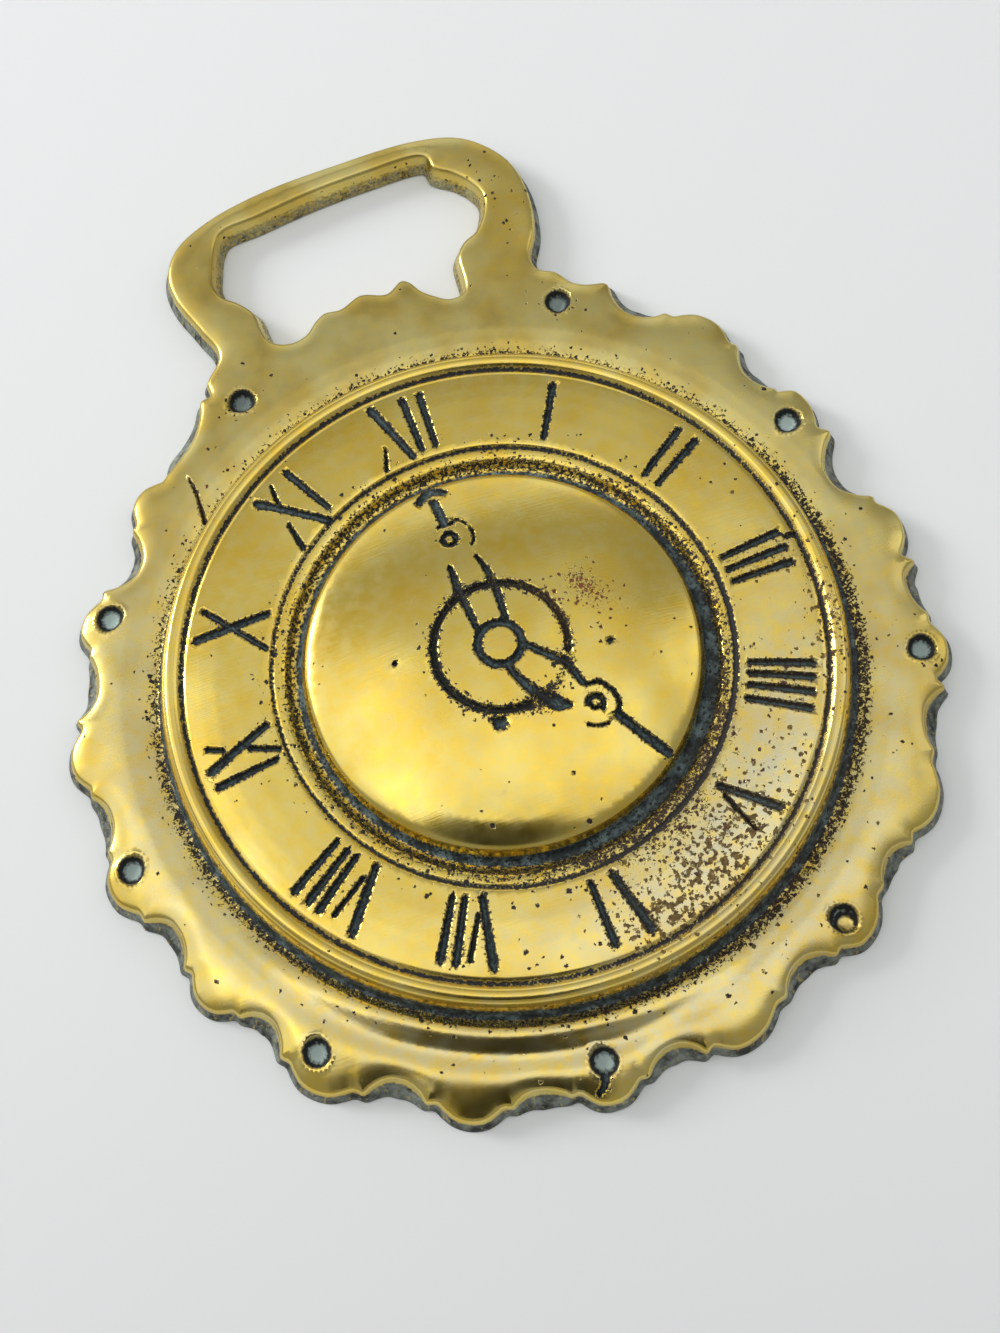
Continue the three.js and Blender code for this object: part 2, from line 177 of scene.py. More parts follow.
# Places that all have the plain draft.
even = lambda places: np.column_stack([np.array(places, float), np.full(len(places), DRAFT)])
outer = closed_curve(np.vstack([rim(), even(LOOP_OUTSIDE)])[::-1], EDGE_STEP)
slot = closed_curve(even(SLOT), EDGE_STEP)
edges = [outer, slot]
CORE = 31.5     # nearer the middle than this there is metal and no edge
FAR = 9.0       # the distance that is given there


def edge_distance(points):
    """Distance to the nearest stretch of the outline or the slot, and the way from it:
    each point is dropped square on every stretch between neighbours and the nearest
    foot is kept. Points within CORE of the middle count as FAR away."""
    starts = np.vstack([ring[:, :2] for ring in edges])
    spans = np.vstack([np.roll(ring[:, :2], -1, 0) - ring[:, :2] for ring in edges])
    length2 = (spans**2).sum(1)
    away = np.tile([FAR, 0.0], (len(points), 1))
    near = np.flatnonzero(np.hypot(*points.T) > CORE)
    for part in np.array_split(near, len(near) // 1000 + 1):
        x, y = points[part].T[:, :, None] - starts.T[:, None]
        share = np.clip((x * spans[:, 0] + y * spans[:, 1]) / length2, 0, 1)
        x, y = x - share * spans[:, 0], y - share * spans[:, 1]
        nearest = (x**2 + y**2).argmin(1)
        rows = np.arange(len(part))
        away[part] = np.column_stack([x[rows, nearest], y[rows, nearest]])
    distance = np.linalg.norm(away, axis=1)
    return distance, away / np.maximum(distance, 1e-9)[:, None]


# ---- The relief -------------------------------------------------------------------
# The dial was turned in the pattern and its face rubbed smooth: a domed middle, a
# recess, the flat ring of the hours, a bead and a dark recess against the flange.
# Hours, hands and circles are cut with a chisel, and the dimples are punched.

FLANGE_TOP = 2.7
RING = 28.0              # radius of the cut line round the hours
DOME_LINE = 20.05        # radius of the cut line round the dome
DOME_TOP = 8.6
DOME_CURVE = 56.0
DOME_EDGE = 17.3

# The dome falls by the square of the radius over twice the radius of its curve.
dome = lambda radius: DOME_TOP - radius**2 / (2 * DOME_CURVE)
# Radius and height, from the dome over its rim and recess, the ring of the hours with
# its two cut lines, and the bead, to the outer recess and the flange.
PROFILE = [(radius, dome(radius)) for radius in np.arange(0, 16.1, 0.4)] + [
    (16.6, dome(16.6) - 0.02), (16.95, dome(16.95) - 0.12), (17.15, dome(17.15) - 0.32),
    (17.28, dome(17.28) - 0.9), (17.38, 5.1), (DOME_EDGE + 0.25, 4.4),
    (18.1, 4.2), (18.6, 4.45), (18.95, 4.95), (19.8, 5.08), (DOME_LINE, 4.86), (20.3, 5.28),
    (20.7, 5.3), (23, 5.3), (25, 5.23), (26.3, 5.14), (27.2, 5.05), (27.7, 4.98),
    (RING, 4.66), (28.25, 5.02), (28.5, 5.24), (28.7, 5.31),
] + [(28.9 + 1.4 * share, 5.34 - 3.0 * share**3) for share in np.arange(0, 1.01, 0.1)] + [
    (30.7, 2.16), (31.3, 2.34), (32.3, 2.56), (33.6, 2.68), (36, FLANGE_TOP), (70, FLANGE_TOP),
]
# The profile is rubbed smooth by averaging it over a bell 0.13 mm to each side.
FINE, RUB_REACH, RUB_WIDTH = 0.02, 20, 0.13
fine = np.arange(0, 70, FINE)
raw = np.interp(fine, *np.array(PROFILE).T)
rub = np.exp(-((np.arange(-RUB_REACH, RUB_REACH + 1) * FINE / RUB_WIDTH) ** 2))
rubbed = np.convolve(np.pad(raw, RUB_REACH, mode="edge"), rub / rub.sum(), "valid")

# Chisel cuts, each from head to foot as angle and distance in parts of the ring's
# radius, with its width there in millimetres. The upright strokes come first, by angle.
I_STROKES = [28, 54.5, 58.5, 83, 86.3, 89.5, 110, 112.7, 115.5, 118.8, 177.6, 206.2,
             209, 232.8, 235.3, 238.5, 263, 330.7, 357.9, 361.4]
STROKES = [((angle, 0.95), (angle + 0.2, 0.755), 0.66, 0.5) for angle in I_STROKES] + [
    ((351.5, 0.96), (355.5, 0.745), 0.8, 0.6), ((350.2, 0.805), (348, 0.74), 0.16, 0.34),
    ((138.3, 0.955), (140.8, 0.77), 0.75, 0.55), ((144.2, 0.935), (142, 0.8), 0.14, 0.36),
    ((170.5, 0.95), (172.5, 0.755), 0.8, 0.6),
    ((199.5, 0.955), (202.5, 0.75), 0.78, 0.6), ((203.8, 0.94), (203, 0.8), 0.4, 0.36),
    ((225.5, 0.955), (228, 0.75), 0.78, 0.6), ((230, 0.94), (229, 0.8), 0.4, 0.36),
    ((266.2, 0.955), (272, 0.75), 0.8, 0.6), ((270.7, 0.945), (269.5, 0.9), 0.45, 0.4),
    ((268, 0.82), (265.3, 0.735), 0.45, 0.45),
    ((292.3, 0.96), (300, 0.75), 0.75, 0.6), ((298.3, 0.955), (291.3, 0.735), 0.5, 0.5),
    ((322.3, 0.95), (328.5, 0.725), 0.78, 0.6), ((326.8, 0.955), (324.7, 0.896), 0.2, 0.36),
    ((322, 0.82), (319, 0.735), 0.3, 0.5),
    ((84.5, 0.97), (84.3, 0.995), 0.5, 0.5),
]
# A gouge across the flange and a crack from a dimple.
FLAWS = [
    ((316, 1.1), (319.5, 1.175), 0.3, 0.2), ((319.5, 1.175), (321, 1.23), 0.2, 0.1),
    ((184.6, 1.28), (185.2, 1.315), 0.8, 0.6), ((185.2, 1.315), (186.2, 1.335), 0.6, 0.3),
]
# The hands, as lines of places on the dome in parts of the ring's radius, with widths:
# the two sides of the hour hand, its arrow, the minute hand and the marks beside them.
HAND_LINES = [
    [(-0.068, 0.3, 0.4), (-0.066, 0.22, 0.8), (-0.058, 0.14, 0.6), (-0.05, 0.07, 0.45)],
    [(0.02, 0.31, 0.25), (0.035, 0.26, 0.5), (0.045, 0.2, 0.75), (0.042, 0.07, 0.45)],
    [(-0.047, 0.545, 0.85), (-0.04, 0.455, 0.75)],
    [(-0.062, 0.45, 0.3), (-0.015, 0.45, 0.3)],
    [(-0.095, 0.56, 0.6), (-0.05, 0.594, 1.05), (-0.005, 0.57, 0.55)],
    [(0.06, -0.01, 0.55), (0.1, -0.05, 0.6), (0.17, -0.11, 0.8), (0.2, -0.19, 0.55)],
    [(0, -0.06, 0.5), (0.01, -0.1, 0.6), (0.05, -0.17, 0.95), (0.11, -0.23, 1.2),
     (0.142, -0.243, 0.4)],
    [(0.265, -0.31, 0.7), (0.375, -0.46, 0.85)],
    [(0.2, -0.195, 0.3), (0.25, -0.2, 0.33), (0.28, -0.24, 0.35), (0.285, -0.28, 0.33),
     (0.27, -0.305, 0.4)],
    [(-0.088, -0.218, 0.7), (-0.075, -0.23, 1.3), (-0.066, -0.222, 0.7)],
    [(0.318, -0.085, 0.5), (0.323, -0.085, 0.5)], [(-0.322, 0.055, 0.4), (-0.318, 0.055, 0.4)],
]
# Circles on the dome: middle, radius, width and the angles they run between. The hub,
# the broken circle round it, and the small rings where each hand narrows.
HAND_ARCS = [
    ((0, 0.005), 0.067, 0.68, 0, 360),
    ((0, 0), 0.205, 0.62, -20, 112), ((0, 0), 0.205, 0.62, 172, 340),
    ((-0.04, 0.395), 0.021, 0.42, -130, 200), ((0.215, -0.26), 0.024, 0.45, -70, 140),
    ((0.215, -0.26), 0.014, 0.25, 140, 290),
    ((-0.04, 0.395), 0.075, 0.14, 25, 60), ((-0.04, 0.395), 0.075, 0.16, 75, 125),
    ((0.215, -0.26), 0.068, 0.16, 165, 195), ((0.215, -0.26), 0.068, 0.12, 203, 222),
]


def strokes():
    """Every cut as a row: start, end, and the width at each. A circle is a run of short
    straight cuts, one to every 12 degrees and eight at least."""
    rows = []
    for (head, out), (foot, inward), width, narrowed in STROKES + FLAWS:
        ends = *on_dial(head, out * RING), *on_dial(foot, inward * RING)
        rows.append((*ends, width, narrowed))
    for line in HAND_LINES:
        for (x, y, w), (p, q, v) in zip(line, line[1:]):
            rows.append((x * RING, y * RING, p * RING, q * RING, w, v))
    for (x, y), radius, width, start, end in HAND_ARCS:
        turns = np.linspace(start, end, max(8, int((end - start) / 12)))
        ring = on_dial(turns, radius * RING) + np.array([x, y]) * RING
        rows += [(*a, *b, width, width) for a, b in zip(ring, ring[1:])]
    return np.array(rows)


CUT_DEPTH = 0.42
CUT_LIP = 0.01
CUT_REACH = 38.5         # no cut lies further out
CUT_FAR = 3.0            # the largest distance from a cut that is told
cuts = strokes()

# The punched dimples: angle and distance from the middle.
DIMPLES = [(26, 36.7), (66, 34.9), (106, 36.4), (146.5, 36.0), (184.5, 34.9),
           (223, 36.5), (259, 36.4), (296.5, 35.7), (335.5, 36.1)]
DIMPLE_RADIUS = 1.25
DIMPLE_DEPTH = 0.9
DIMPLE_LIP = 0.05
dimples = on_dial(*np.array(DIMPLES).T)


def cut_distance(x, y):
    """Signed distance to the nearest chisel cut: to its middle line, less half of the
    width there, so that it is negative inside the cut; and the share of the way in."""
    points = np.column_stack([x, y])
    best = np.full(len(x), CUT_FAR)
    depth = np.zeros(len(x))
    near = np.flatnonzero(x**2 + y**2 < CUT_REACH**2)
    start, end, width, change = cuts[:, :2], cuts[:, 2:4], cuts[:, 4], cuts[:, 5] - cuts[:, 4]
    span = end - start
    for part in np.array_split(near, max(1, len(near) // 4000)):
        some = points[part, None] - start
        share = np.clip((some * span).sum(2) / (span**2).sum(1), 0, 1)
        gap = np.linalg.norm(some - share[..., None] * span, axis=2)
        half = (width + share * change) / 2
        best[part] = np.minimum(CUT_FAR, (gap - half).min(1))
        depth[part] = np.clip(1 - gap / half, 0, 1).max(1)
    return best, depth


def hump(value, middle, half, power=2):
    """A bell: e to minus the distance from the middle, in halves, to the power."""
    return np.exp(-(((value - middle) / half) ** power))


def turned(angle, middle):
    """Degrees from the middle to an angle, the short way round."""
    return (angle - middle + 180) % 360 - 180


def ripple(x, y, waves):
    """Hand-rubbed unevenness: the mean of sine waves, each with its own length in
    millimetres, heading in degrees and phase."""
    total = 0
    for length, heading, phase in waves:
        turn = np.radians(heading)
        total = total + np.sin(2 * np.pi * (x * np.cos(turn) + y * np.sin(turn)) / length + phase)
    return total / len(waves)


# The waves of the rubbing, and their heights on the dial and what the flange adds.
SLOW_WAVES = [(11, 20, 0.4), (7.3, 100, 1.9), (9.1, 155, 4.0), (5.7, 62, 2.2)]
SLOW_DIAL, SLOW_FLANGE = 0.008, 0.035
QUICK_WAVES = [(3.1, 40, 1.0), (2.3, 130, 0.3), (3.7, 85, 5.0)]
QUICK_DIAL, QUICK_FLANGE = 0.0015, 0.004
FLANGE_START = 30.6
# The lower flange swells beside the outer recess and dips beyond it, and the foot of
# the dome is rubbed away on the same side: height, where, and how wide.
FOOT_SIDE, FOOT_HALF = 199, 33
SWELL, SWELL_AT, SWELL_WIDTH = 0.62, 31.3, 1.6
DIP, DIP_AT, DIP_WIDTH = 0.35, 33.5, 1.2
DENT, DENT_FROM, DENT_REACH, DENT_END, DENT_HALF = 0.32, 14.8, 2.3, 18, 21
# The flange droops beyond this radius, by this much at its edge, and more lower down,
# but not beside the loop.
DROOP, LOWER_DROOP, DROOP_FROM, DROOP_REACH = 0.42, 0.5, 33.6, 5
DROOP_SIDE, DROOP_HALF, LOOP_HALF = 195, 60, 27


def front(x, y):
    """Height of the face before its edge is rounded: the turned profile, less the cut
    depth times the rounded share of the way into a cut, plus the low lip beside it,
    less the bowls of the dimples, plus the swell and less the dip and the dent at the
    lower side, less the droop of the flange, plus the rubbed unevenness."""
    radius, angle = np.hypot(x, y), np.degrees(np.arctan2(x, y))
    height = np.interp(radius, fine, rubbed)
    gap, share = cut_distance(x, y)
    height = height - CUT_DEPTH * (1 - (1 - share) ** 2) + CUT_LIP * hump(gap, 0.18, 0.14)
    for number, (cx, cy) in enumerate(dimples):
        # The punch slipped, so no bowl is quite round.
        turn = np.arctan2(y - cy, x - cx)
        uneven = 1 + 0.08 * np.sin(2 * turn + number) + 0.04 * np.sin(3 * turn + 2 * number)
        share = np.hypot(x - cx, y - cy) / (DIMPLE_RADIUS * uneven)
        height = height - DIMPLE_DEPTH * np.clip(1 - share**2.6, 0, 1) ** 0.8
        height = height + DIMPLE_LIP * hump(share, 1.12, 0.1)
    on_flange = 1 / (1 + np.exp(-(radius - FLANGE_START) / 0.3))
    off_loop = 1 - hump(angle, 0, LOOP_HALF, 4)
    lower = hump(turned(angle, DROOP_SIDE), 0, DROOP_HALF)
    from_foot = turned(angle, FOOT_SIDE)
    foot = hump(from_foot, 0, FOOT_HALF, 4)
    height = height + SWELL * hump(radius, SWELL_AT, SWELL_WIDTH) * foot * on_flange
    height = height - DIP * hump(radius, DIP_AT, DIP_WIDTH) * foot
    dent = np.clip((radius - DENT_FROM) / DENT_REACH, 0, 1) ** 1.5
    dented = hump(from_foot, 0, DENT_HALF, 4)
    height = height - DENT * dent * dented * (radius < DENT_END)
    droop = (np.clip(radius - DROOP_FROM, 0, 6) / DROOP_REACH) ** 1.65
    height = height - (DROOP + LOWER_DROOP * lower) * off_loop * droop
    height = height + ripple(x, y, SLOW_WAVES) * (SLOW_DIAL + SLOW_FLANGE * on_flange)
    return height + ripple(x, y, QUICK_WAVES) * (QUICK_DIAL + QUICK_FLANGE * on_flange)


# How far in the filed edge is rounded and the rubbed one, and how far each falls.
SHARP_ROLL, SOFT_ROLL, ROLL_FALL = 0.4, 2.2, 0.26


def edge_roll(distance):
    """How far the face has dropped near an edge: a quarter ellipse over the sharp roll's
    reach, and the share of the way out to the power 2.5 over the soft roll's."""
    sharp = np.clip(1 - distance / SHARP_ROLL, 0, 1)
    soft = np.clip(1 - distance / SOFT_ROLL, 0, 1)
    return ROLL_FALL * (1 - np.sqrt(1 - sharp**2)) + ROLL_FALL * soft**2.5


# ---- The front face ---------------------------------------------------------------
# Points are laid where the relief turns: rows inside the edges, rows beside every
# cut, circles at every step of the turned profile, and an even spread between them.


def inside(points, rings=edges):
    """Even-odd rule: a point is inside when a ray from it crosses the rings an odd
    number of times."""
    crossings = np.ones(len(points), int)
    near = np.flatnonzero(np.hypot(*points.T) > CORE)
    crossings[near] = 0
    for ring in rings:
        a, b = ring[:, :2], np.roll(ring[:, :2], -1, 0)
        for part in np.array_split(near, len(near) // 2000 + 1):
            x, y = points[part].T[:, :, None]
            spans = (a[:, 1] > y) != (b[:, 1] > y)
            rise = np.where(b[:, 1] == a[:, 1], 1, b[:, 1] - a[:, 1])
            hits = spans & (x < a[:, 0] + (y - a[:, 1]) * (b[:, 0] - a[:, 0]) / rise)
            crossings[part] += hits.sum(1)
    return crossings % 2 == 1


# How far in from the edges the rows lie, closest where the edge is roundest.
EDGE_DEPTHS = (0.05, 0.13, 0.24, 0.37, 0.5, 0.68, 0.9)


def edge_rows():
    """Rows set in from the edges along their normals by each depth, less the points
    that a nick brings nearer to an edge than 0.85 of that depth."""
    rows = []
    for depth in EDGE_DEPTHS:
        reach = 1 + int(depth * 3)
        row = np.vstack([ring[:, :2] - depth * outward(ring[:, :2], reach) for ring in edges])
        rows.append(row[edge_distance(row)[0] > 0.85 * depth])
    points = np.vstack(rows)
    return points[inside(points)]


def cut_rows():
    """Rows along each cut: its middle line, two on each wall, and one 0.2 mm beyond
    each edge; and three points past each tip, by parts of half its smaller width."""
    rows = []
    for x, y, p, q, w, v in cuts:
        length = np.hypot(p - x, q - y)
        share = np.linspace(0, 1, max(2, int(length / 0.2)))[:, None]
        along = np.array([p - x, q - y]) / max(length, 1e-6)
        across = np.array([-along[1], along[0]])
        middle = np.array([x, y]) + share * np.array([p - x, q - y])
        half = (w + share * (v - w)) / 2
        for side in (-1, -0.55, 0, 0.55, 1):
            rows.append(middle + side * half * across)
        for side in (-1, 1):
            rows.append(middle + side * (half + 0.2) * across)
        for tip, way in ((np.array([x, y]), -1), (np.array([p, q]), 1)):
            rows.append(tip + way * along * np.array([[0.5], [1], [1.6]]) * min(w, v) / 2)
    return np.vstack(rows)


def circles(radii, spacing):
    """Points round the middle of the dial, on each radius as many as the spacing goes
    into its circumference."""
    parts = []
    for radius in radii:
        count = int(2 * np.pi * radius / spacing)
        parts.append(on_dial(np.arange(count) * 360 / count, radius))
    return np.vstack(parts)


FLANGE_REACH, LOOP_REACH = 42, 57      # the casting lies within these


def honeycomb(spacing, edge_gap, radii, ring_gap):
    """An even spread: rows 0.866 of the spacing apart, every other one moved by half of
    it, where there is metal, clear of the edges and of the circles by their gaps."""
    across = np.arange(-FLANGE_REACH, FLANGE_REACH, spacing)
    up = np.arange(-FLANGE_REACH, LOOP_REACH, spacing * 0.866)
    x, y = np.meshgrid(across, up)
    x = x + (np.arange(len(up)) % 2)[:, None] * spacing / 2
    points = np.column_stack([x.ravel(), y.ravel()])
    points = points[inside(points)]
    off_circle = np.abs(np.hypot(*points.T)[:, None] - np.array(radii)).min(1)
    points = points[off_circle > ring_gap]
    return points[edge_distance(points)[0] > edge_gap]


# Radii at the dome's rim and recess, and at the hours' outer line, bead and recess.
RELIEF_RADII = [
    16.6, 16.9, 17.08, 17.2, 17.32, 17.44, 17.6, 17.85, 18.2, 18.5, 18.75, 19.0, 19.4,
    19.7, 19.88, 20.05, 20.2, 20.4, 27.4, 27.65, 27.83, 28.0, 28.17, 28.35, 28.6, 28.9,
    29.2, 29.45, 29.65, 29.8, 29.92, 30.02, 30.13, 30.27, 30.45, 30.7, 31.05,
]
DIMPLE_SHARES = (0.25, 0.45, 0.62, 0.76, 0.88, 0.97, 1.06, 1.18, 1.35)
dimple_rows = np.vstack([
    middle + on_dial(np.arange(0, 360, 15) + 7 * row, DIMPLE_RADIUS * share)
    for middle in dimples
    for row, share in enumerate(DIMPLE_SHARES)
])
# The even spread keeps off the edges' rows, the circles, the cuts and the dimples.
even_spread = honeycomb(0.44, 1.05, RELIEF_RADII, 0.2)
clear = cut_distance(*even_spread.T)[0] > 0.3
clear &= np.hypot(*(even_spread[:, None] - dimples).T).min(0) > 1.42 * DIMPLE_RADIUS

loose = np.vstack([
    cut_rows(), dimple_rows, edge_rows(), circles(RELIEF_RADII, 0.36), even_spread[clear],
])
# Of the points in one square of 0.1 mm only the first stays.
square = np.round(loose / 0.1).astype(np.int64)
loose = loose[np.sort(np.unique(square[:, 0] * 100000 + square[:, 1], return_index=True)[1])]
border = np.vstack([ring[:, :2] for ring in edges])
flat = np.vstack([border, loose])


def ring_links():
    """Each point of the outline and the slot with the one after it, as pairs of numbers."""
    links, offset = [], 0
    for ring in edges:
        first = np.arange(len(ring)) + offset
        links.append(np.column_stack([first, np.roll(first, -1)]))
        offset += len(ring)
    return np.vstack(links)


def triangulate(points, rings=edges):
    """Delaunay triangles that keep the edges, less those whose middles aren't inside."""
    made = delaunay_2d_cdt(points.tolist(), ring_links().tolist(), [], 1, 1e-7, True)
    # The third part is its faces, and the fourth says which point each corner was.
    origin = np.array([ids[0] for ids in made[3]])
    faces = origin[np.array(made[2])]
    return faces[inside(points[faces].mean(1), rings)]


def slopes(surface, x, y):
    """Rise to the millimetre along x and y, from the heights 0.02 mm to either side."""
    nudge = 0.02
    return np.column_stack([
        (surface(x + nudge, y) - surface(x - nudge, y)) / (2 * nudge),
        (surface(x, y + nudge) - surface(x, y - nudge)) / (2 * nudge),
    ])


EDGE_NORMAL_RISE = 0.35     # how far the normals on the very edge still look up
front_faces = triangulate(flat)
distance, way = edge_distance(loose)
drop = (edge_roll(distance + 0.005) - edge_roll(np.maximum(distance - 0.005, 0))) / 0.01
slope = slopes(front, *loose.T) - drop[:, None] * way
loose_height = front(*loose.T) - edge_roll(distance)
border_height = front(*border.T) - edge_roll(np.zeros(len(border)))
border_way = np.vstack([outward(ring[:, :2], 1) for ring in edges])
front_place = np.column_stack([flat, np.concatenate([border_height, loose_height])])
front_normal = np.vstack([
    np.column_stack([border_way, np.full(len(border), EDGE_NORMAL_RISE)]),
    np.column_stack([-slope, np.ones(len(slope))]),
])

# ---- The walls and the back ---------------------------------------------------------
# The walls spread a little towards the back, as they must to leave the sand. The back
# is plain, as cast, and hollow behind the dial in two steps.

# Rows down the wall: share of the spread, share of the height, and millimetres in.
WALL_ROWS = [
    (0.06, 0.86, 0), (0.3, 0.62, 0), (0.6, 0.38, 0), (0.85, 0.2, 0),
    (1, 0.09, 0), (1, 0.03, 0.1), (1, 0, 0.3),
]
# Radius and depth of the hollow, and the radii where it turns.
DISH = [(0, 3.7), (13.3, 3.7), (13.7, 3.45), (14.3, 2.3), (14.8, 2.1), (25.6, 2.1), (26.1, 1.9),
        (26.7, 0.35), (27.2, 0.0), (70, 0)]
DISH_RADII = [13.0, 13.3, 13.6, 13.9, 14.2, 14.5, 14.9, 25.4, 25.8, 26.1, 26.4, 26.7, 27.0, 27.4]
SAND_WAVES = [(6.3, 15, 0.2), (4.1, 75, 1.1), (2.9, 140, 3.0), (8.7, 110, 5.1)]
SAND_HEIGHT = 0.05


def behind(x, y):
    """Height of the back: the two steps of the hollow, and the unevenness of the sand."""
    height = np.interp(np.hypot(x, y), *np.array(DISH).T)
    return height + SAND_HEIGHT + SAND_HEIGHT * ripple(x, y, SAND_WAVES)


spread = np.concatenate([ring[:, 2] for ring in edges])[:, None]
wide = np.vstack([outward(ring[:, :2], 4) for ring in edges])
wall = [
    np.column_stack([border + (share * spread - back) * wide, border_height * height])
    for share, height, back in WALL_ROWS
]
back_border = wall[-1][:, :2]
back_loose = np.vstack([circles(DISH_RADII, 0.9), honeycomb(0.95, 0.3, DISH_RADII, 0.35)])
back_faces = triangulate(
    np.vstack([back_border, back_loose]), np.split(back_border, [len(outer)]))
back_slope = slopes(behind, *back_loose.T)
back_place = np.column_stack([back_loose, behind(*back_loose.T)])
back_normal = np.column_stack([back_slope, -np.ones(len(back_slope))])

# ---- The casting, in one -------------------------------------------------------------
# Front, walls and back are one skin of brass: the front's points come first, its edges
# leading, then the walls row by row, then the back's.

count, rows = len(border), len(WALL_ROWS)
wall_start, back_start = len(flat), len(flat) + count * rows
levels = [np.arange(count)] + [wall_start + count * row + np.arange(count) for row in range(rows)]
here, following = ring_links().T
quads = np.vstack([
    np.column_stack([upper[here], lower[here], lower[following], upper[following]])
    for upper, lower in zip(levels, levels[1:])
])
back_ids = np.concatenate([levels[-1], back_start + np.arange(len(back_loose))])
triangles = np.vstack([front_faces, back_ids[back_faces][:, ::-1]])
place = np.vstack([front_place, *wall, back_place])
# The walls' normals are left at nought, which has Blender work them out.
normal = np.vstack([
    front_normal / np.linalg.norm(front_normal, axis=1, keepdims=True),
    np.zeros((count * rows, 3)),
    back_normal / np.linalg.norm(back_normal, axis=1, keepdims=True),
])

# The casting is put where the solid has it: the middles of the two boxes agree.
shift = (cad_low + cad_high)[:2] / 2 - (place.min(0) + place.max(0))[:2] / 2
placed = place.copy()
placed[:, :2] += shift
placed = np.clip(placed, cad_low + 1e-4, cad_high - 1e-4)

mesh = bpy.data.meshes.new("horse_brass_casting")
mesh.vertices.add(len(placed))
mesh.vertices.foreach_set("co", (placed / 1000).ravel())
loops = np.concatenate([triangles.ravel(), quads.ravel()])
sizes = np.concatenate([np.full(len(triangles), 3), np.full(len(quads), 4)])
starts = np.concatenate([[0], np.cumsum(sizes)[:-1]])
mesh.loops.add(len(loops))
mesh.loops.foreach_set("vertex_index", loops.astype(np.int32))
mesh.polygons.add(len(sizes))
mesh.polygons.foreach_set("loop_start", starts.astype(np.int32))
mesh.update(calc_edges=True)
mesh.validate()
mesh.shade_smooth()
mesh.normals_split_custom_set_from_vertices(normal.tolist())
casting = bpy.data.objects.new("horse_brass_casting", mesh)
bpy.context.scene.collection.objects.link(casting)

# ---- Where the wear, the dirt and the verdigris lie ---------------------------------
# Years of polish stayed in every cut and recess and went dark there, damp pitted the
# brass beside them, and the hand that rubbed it missed the flange and the walls.

x, y = place.T[:2]
radius, angle = np.hypot(x, y), np.degrees(np.arctan2(x, y))
is_front = np.arange(len(place)) < len(flat)


def toward(middle, half):
    """A bell over the angle: 1 at the middle, falling off with degrees either way."""
    return hump(turned(angle, middle), 0, half)


def at_radius(middle, half):
    """A bell over the radius: 1 at the middle, falling off with millimetres either way."""
    return hump(radius, middle, half)


def patch(px, py, half):
    """A bell over the distance from a place."""
    return np.exp(-((x - px) ** 2 + (y - py) ** 2) / half**2)


def rise(value, low, high):
    """A straight rise from 0 at low to 1 at high."""
    return np.clip((value - low) / (high - low), 0, 1)


def on_front(values, elsewhere=0):
    """Shares from 0 to 1 on the front, and one value on the walls and the back."""
    return np.where(is_front, np.clip(values, 0, 1), elsewhere)


# The brass is most eaten at the lower right, between the third hour and the seventh.
lower_right = toward(125, 65)
from_each = np.hypot(x[:, None] - dimples[:, 0], y[:, None] - dimples[:, 1])
from_dimple = from_each.min(1) - DIMPLE_RADIUS
# The fourth dimple has lost part of its filling and shows bare metal there.
BARE = 0.62
bare_x, bare_y = dimples[3] - np.array([-0.1, 0.35])
from_dimple = np.maximum(from_dimple, BARE - np.hypot(x - bare_x, y - bare_y))
# How much pale chalk each dimple holds.
CHALKED = np.array([0.5, 1.0, 0.7, 0.7, 0.8, 0.95, 0.8, 0.95, 0.4])

# Half the widths of the two cut circles; the inner one is wider at the lower right.
from_line = np.minimum(
    np.abs(radius - RING) - 0.21, np.abs(radius - DOME_LINE) - 0.17 - 0.13 * lower_right)

pitting = (
    (0.55 + 0.45 * lower_right + 0.35 * toward(250, 50) + 0.3 * toward(5, 30))
    * at_radius(30.7, 0.6)
    + (0.15 + 0.7 * lower_right + 0.3 * toward(5, 40) + 0.35 * toward(260, 35))
    * at_radius(31.5, 0.7)
    + 0.95 * at_radius(18.5, 0.65)
    + (0.35 + 0.4 * toward(150, 80)) * at_radius(19.5, 0.7)
    + (0.05 + 0.35 * toward(150, 60) + 0.3 * toward(345, 40) + 0.4 * toward(275, 30))
    * at_radius(20.9, 0.8)
    + 0.4 * toward(155, 20) * at_radius(22.5, 4)
    + 0.2 * toward(140, 45) * at_radius(25, 5)
    + 0.55 * toward(100, 20) * at_radius(28.9, 1.0)
    + 0.8 * patch(0.29 * RING, 0.135 * RING, 2.0) + 0.6 * patch(0.34 * RING, 0.05 * RING, 2.0)
    + 1.1 * at_radius(5.8, 0.6) * (0.75 + 0.35 * toward(240, 80))
    + 0.8 * patch(2.2, -6.2, 1.6) + 0.5 * patch(-1.7, 5.6, 1.2)
    + 0.06 * toward(165, 40) * at_radius(33.5, 2.2)
    + 0.25 * patch(15, 45, 4.0)
    + 0.012
)
for px, py in dimples[[0, 2, 8]]:
    pitting = pitting + 0.3 * patch(px, py, 2.4)
browned = (
    1.2 * toward(153, 18) * at_radius(25.0, 3.6) + 1.1 * toward(167, 8) * at_radius(26.8, 1.7)
    + 0.9 * toward(101, 15) * at_radius(28.2, 1.6)
    + 0.25 * toward(120, 30) * at_radius(25.5, 3)
    + 0.04 * toward(165, 40) * at_radius(33.5, 2.0)
)
rusty = (
    patch(0.31 * RING, 0.1 * RING, 4) + toward(318, 6) * at_radius(32.6, 2.4)
    + 0.5 * toward(130, 40) * at_radius(25, 5)
)
pale = (
    1.1 * toward(145, 42) * at_radius(24.5, 4.5)
    + 0.75 * toward(165, 75) * at_radius(33.6, 2.6)
    + 0.4 * toward(270, 50) * at_radius(33, 3)
)
